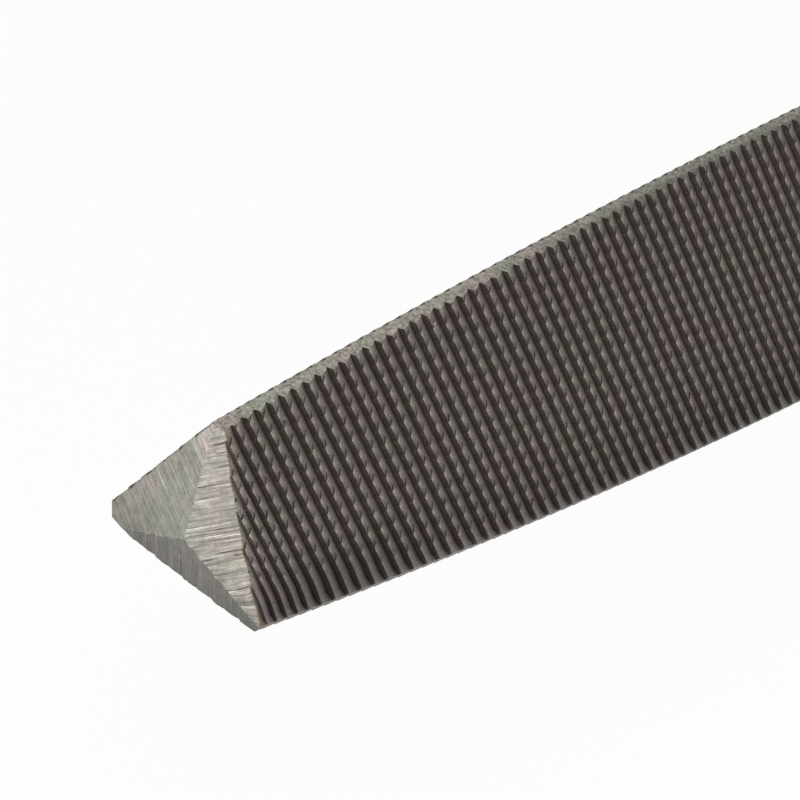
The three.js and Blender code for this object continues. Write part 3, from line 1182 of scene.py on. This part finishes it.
# Scales of the wood's marks are for each metre along the handle and across it
wood = {
    "pith": (0.031, -0.019),  # Y and Z of the tree's centre, which lies beside the handle
    "ringWidth": 0.0019,
    "ringBend": 0.006,
    "late": 0.55,  # how strong each mark is
    "pore": 0.35,
    "ray": 0.6,
    "scribe": 0.92,
    "bendScale": (9, 45, 45),
    "fibreScale": (90, 5200, 5200),
    "poreScale": (420, 9000, 9000),
    "slowScale": (14, 90, 90),
    "rayScale": (620, 190, 330),  # along the handle, round the pith and away from it
    "light": (0.66, 0.42, 0.235, 1),
    "dark": (0.5, 0.285, 0.14, 1),
    "fleck": (0.27, 0.125, 0.055, 1),
    "burnt": (0.06, 0.03, 0.018, 1),
    "sheen": {"Coat Weight": 0.35, "Coat Roughness": 0.22},
}


def makeBeech():
    material, shader = newMaterial("beech", wood["sheen"])
    place = objectPlace(material.node_tree)
    axes = split(place)
    y, z = (maths("SUBTRACT", axes[name], pith) for name, pith in zip("YZ", wood["pith"]))
    bend = multiplied(streaks(place, wood["bendScale"], 2, 0.5), wood["ringBend"])
    square = maths("ADD", multiplied(y, y), multiplied(z, z))
    radius = maths("ADD", maths("SQRT", square), bend)
    ring = maths("FRACT", maths("DIVIDE", radius, wood["ringWidth"]))
    late = multiplied(maths("POWER", ring, 3), remap(ring, 0.9, 1.0, 1, 0))
    fibre = streaks(place, wood["fibreScale"], 3, 0.65)
    pores = remap(streaks(place, wood["poreScale"], 1, 0.5), 0.64, 0.7)
    slow = streaks(place, wood["slowScale"], 2, 0.5)
    # rays are thin upright plates that point at the pith: dashes on one side, broad silky flakes on the other
    ways = (axes["X"], maths("ARCTAN2", z, y), radius)
    plates = joined(*[multiplied(way, scale) for way, scale in zip(ways, wood["rayScale"])])
    rays = remap(noise(plates, 1.0, 1, 0.5), 0.65, 0.7)
    colour = blendColour(spread(slow, 0, 1), wood["light"], wood["dark"])
    colour = blendColour(multiplied(late, wood["late"]), colour, wood["dark"])
    colour = shade(colour, spread(fibre, 0.86, 1.12))
    colour = blendColour(multiplied(pores, wood["pore"]), colour, wood["fleck"])
    colour = blendColour(multiplied(rays, wood["ray"]), colour, wood["fleck"])
    width = handle["scribeWidth"] * mm
    for scribe in handle["scribes"]:
        away = maths("ABSOLUTE", maths("SUBTRACT", axes["X"], scribe * mm))
        burnt = remap(away, width * 0.35, width * 0.95, wood["scribe"], 0)
        colour = blendColour(burnt, colour, wood["burnt"])
    height = maths("SUBTRACT", fibre, maths("ADD", pores, rays))
    connect(shader, colour, spread(fibre, 0.36, 0.5), height, 0.25, 0.00006)
    return material


handlePiece = turnedSkin("turned_handle", handleRings, handle, makeBeech())
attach(handlePiece, "root")
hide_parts("handle")
print("handle done:", len(handlePiece.data.polygons), "faces")


# Ferrule: a drawn steel ring with its mouth turned in over the nose, sizes in millimetres

ferrule = {
    "wall": 0.8,
    "taper": 0.5,
    "lipWidth": 2,
    "lipRound": 0.9,
    "backRound": 0.25,
    "backChamfer": 0.1,
    "bodyRings": 34,
    "dimples": (0.6, 3.74),  # angles of the two punch marks that hold it on the wood
    "dimplePlace": 5.2,  # from its back edge
    "dimpleSize": 1.5,
    "dimpleDepth": 0.45,
    "dimpleFall": 1.6,
    "sides": 144,
    "sharpAngle": 40,
}


def dimpleDents(angles, place, radius):
    # place is from the back edge
    dents = 0
    for dimple in ferrule["dimples"]:
        off = (angles - dimple + math.pi) % (2 * math.pi) - math.pi
        gap = np.hypot(off * radius, place - ferrule["dimplePlace"]) / ferrule["dimpleSize"]
        dents = dents + ferrule["dimpleDepth"] * np.exp(-(gap * ferrule["dimpleFall"]) ** 2)
    return dents


def ferruleRings(angles):
    low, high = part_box("ferrule")
    back, mouth, outer = low.x / mm, high.x / mm, high.y / mm
    edge, lipRound, wall, taper = (ferrule[name] for name in ("backRound", "lipRound", "wall", "taper"))
    bend = mouth - lipRound
    inner = outer - wall
    lip = inner - taper - ferrule["lipWidth"]
    body = []
    for place in np.linspace(back + edge, bend, ferrule["bodyRings"])[1:-1]:
        radius = outer - taper * (place - back) / (bend - back)
        body.append((place, radius - dimpleDents(angles, place - back, radius)))
    return [
        *arcRings(back + edge, outer - edge, edge, edge, 180, 90, 4),
        *body,
        *arcRings(bend, outer - taper - lipRound, lipRound, lipRound, 90, 0, 8),
        *arcRings(mouth - wall / 2, lip + wall / 2, wall / 2, wall / 2, 0, -180, 8),
        (mouth - wall, inner - taper),
        (back + edge, inner),
        (back, inner + ferrule["backChamfer"]),
    ]


ferruleFinish = {
    "light": (0.66, 0.65, 0.62, 1),
    "dull": (0.5, 0.49, 0.46, 1),
    "dullScale": 260,
    "lines": 9000,  # turning marks for each metre
    "wobble": 0.0003,
    "wobbleScale": 120,
    "rust": 0.6,
}


def makeFerruleSteel():
    material, shader, place, skin = newSteel("ferruleSteel", 1.0, 0.3)
    wobble = multiplied(noise(place, ferruleFinish["wobbleScale"], 1, 0.5), ferruleFinish["wobble"])
    along = maths("ADD", split(place)["X"], wobble)
    turning = noise(joined(multiplied(along, ferruleFinish["lines"])), 1.0, 3, 0.7)
    dull = noise(place, ferruleFinish["dullScale"], 3, 0.6)
    colour = blendColour(remap(dull, 0.35, 0.65), ferruleFinish["light"], ferruleFinish["dull"])
    colour = shade(colour, spread(turning, 0.88, 1.08))
    colour = rusted(skin, colour, ferruleFinish["rust"])
    rough = maths("ADD", spread(turning, 0.22, 0.34), remap(dull, 0.4, 0.7, 0, 0.14))
    connect(shader, colour, rough, turning, 0.2, 0.00003)
    return material


ferrulePiece = turnedSkin("steel_ferrule", ferruleRings, ferrule, makeFerruleSteel(), closed=True)
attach(ferrulePiece, "root")
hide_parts("ferrule")
print("ferrule done:", len(ferrulePiece.data.polygons), "faces")


# Floor, world and lamps

studio = {
    "floorSize": 6.0,
    "floor": {"Base Color": (0.86, 0.86, 0.86, 1), "Roughness": 0.9, "Specular IOR Level": 0},
    "floorLift": 0.94,  # how far the floor is lifted to white where it is looked at
    "white": (1, 1, 1, 1),
    "worldStrength": 0.6,
    "lampTarget": (0.22, 0, 0),
}

# Lamps as (place, size, power)
lamps = {
    "keyLamp": ((-0.05, 0.42, 0.1), 0.3, 2.2),
    "frontLamp": ((0.75, 0.25, 0.15), 0.25, 1.5),
}


def seenStraight(tree):
    # 1 where the camera, a mirror or glass looks at the surface, 0 where it only lights the object
    rays = newNode("ShaderNodeLightPath", tree=tree).outputs
    seen = maths("MAXIMUM", rays["Is Camera Ray"], rays["Is Glossy Ray"])
    return maths("MAXIMUM", seen, rays["Is Transmission Ray"])


def makeFloor():
    half = studio["floorSize"] / 2
    level = cadLow.z
    points = [(-half, -half, level), (half, -half, level), (half, half, level), (-half, half, level)]
    material, shader = newMaterial("floorWhite", studio["floor"])
    tree = material.node_tree
    glow = newNode("ShaderNodeEmission", {"Color": studio["white"]}, tree).outputs["Emission"]
    lift = multiplied(seenStraight(tree), studio["floorLift"])
    mix = newNode("ShaderNodeMixShader", {"Fac": lift, 1: shader.outputs["BSDF"], 2: glow})
    feed(tree.nodes["Material Output"], {"Surface": mix.outputs["Shader"]})
    floor = makePiece("floor", points, [(0, 1, 2, 3)], [material])


def makeWorld():
    world = bpy.data.worlds.new("studioWorld")
    bpy.context.scene.world = world
    world.use_nodes = True
    strength = remap(seenStraight(world.node_tree), 0, 1, studio["worldStrength"], 1)
    feed(world.node_tree.nodes["Background"], {"Color": studio["white"], "Strength": strength})


def makeLamp(name, place, size, power):
    data = bpy.data.lights.new(name, "AREA")
    data.shape = "DISK"
    data.size = size
    data.energy = power
    lamp = bpy.data.objects.new(name, data)
    lamp.location = place
    lamp.rotation_euler = (Vector(studio["lampTarget"]) - Vector(place)).to_track_quat("-Z", "Y").to_euler()
    bpy.context.scene.collection.objects.link(lamp)


makeFloor()
makeWorld()
for name, (place, size, power) in lamps.items():
    makeLamp(name, place, size, power)
bpy.context.scene.view_settings.view_transform = "Standard"
print("studio lit")
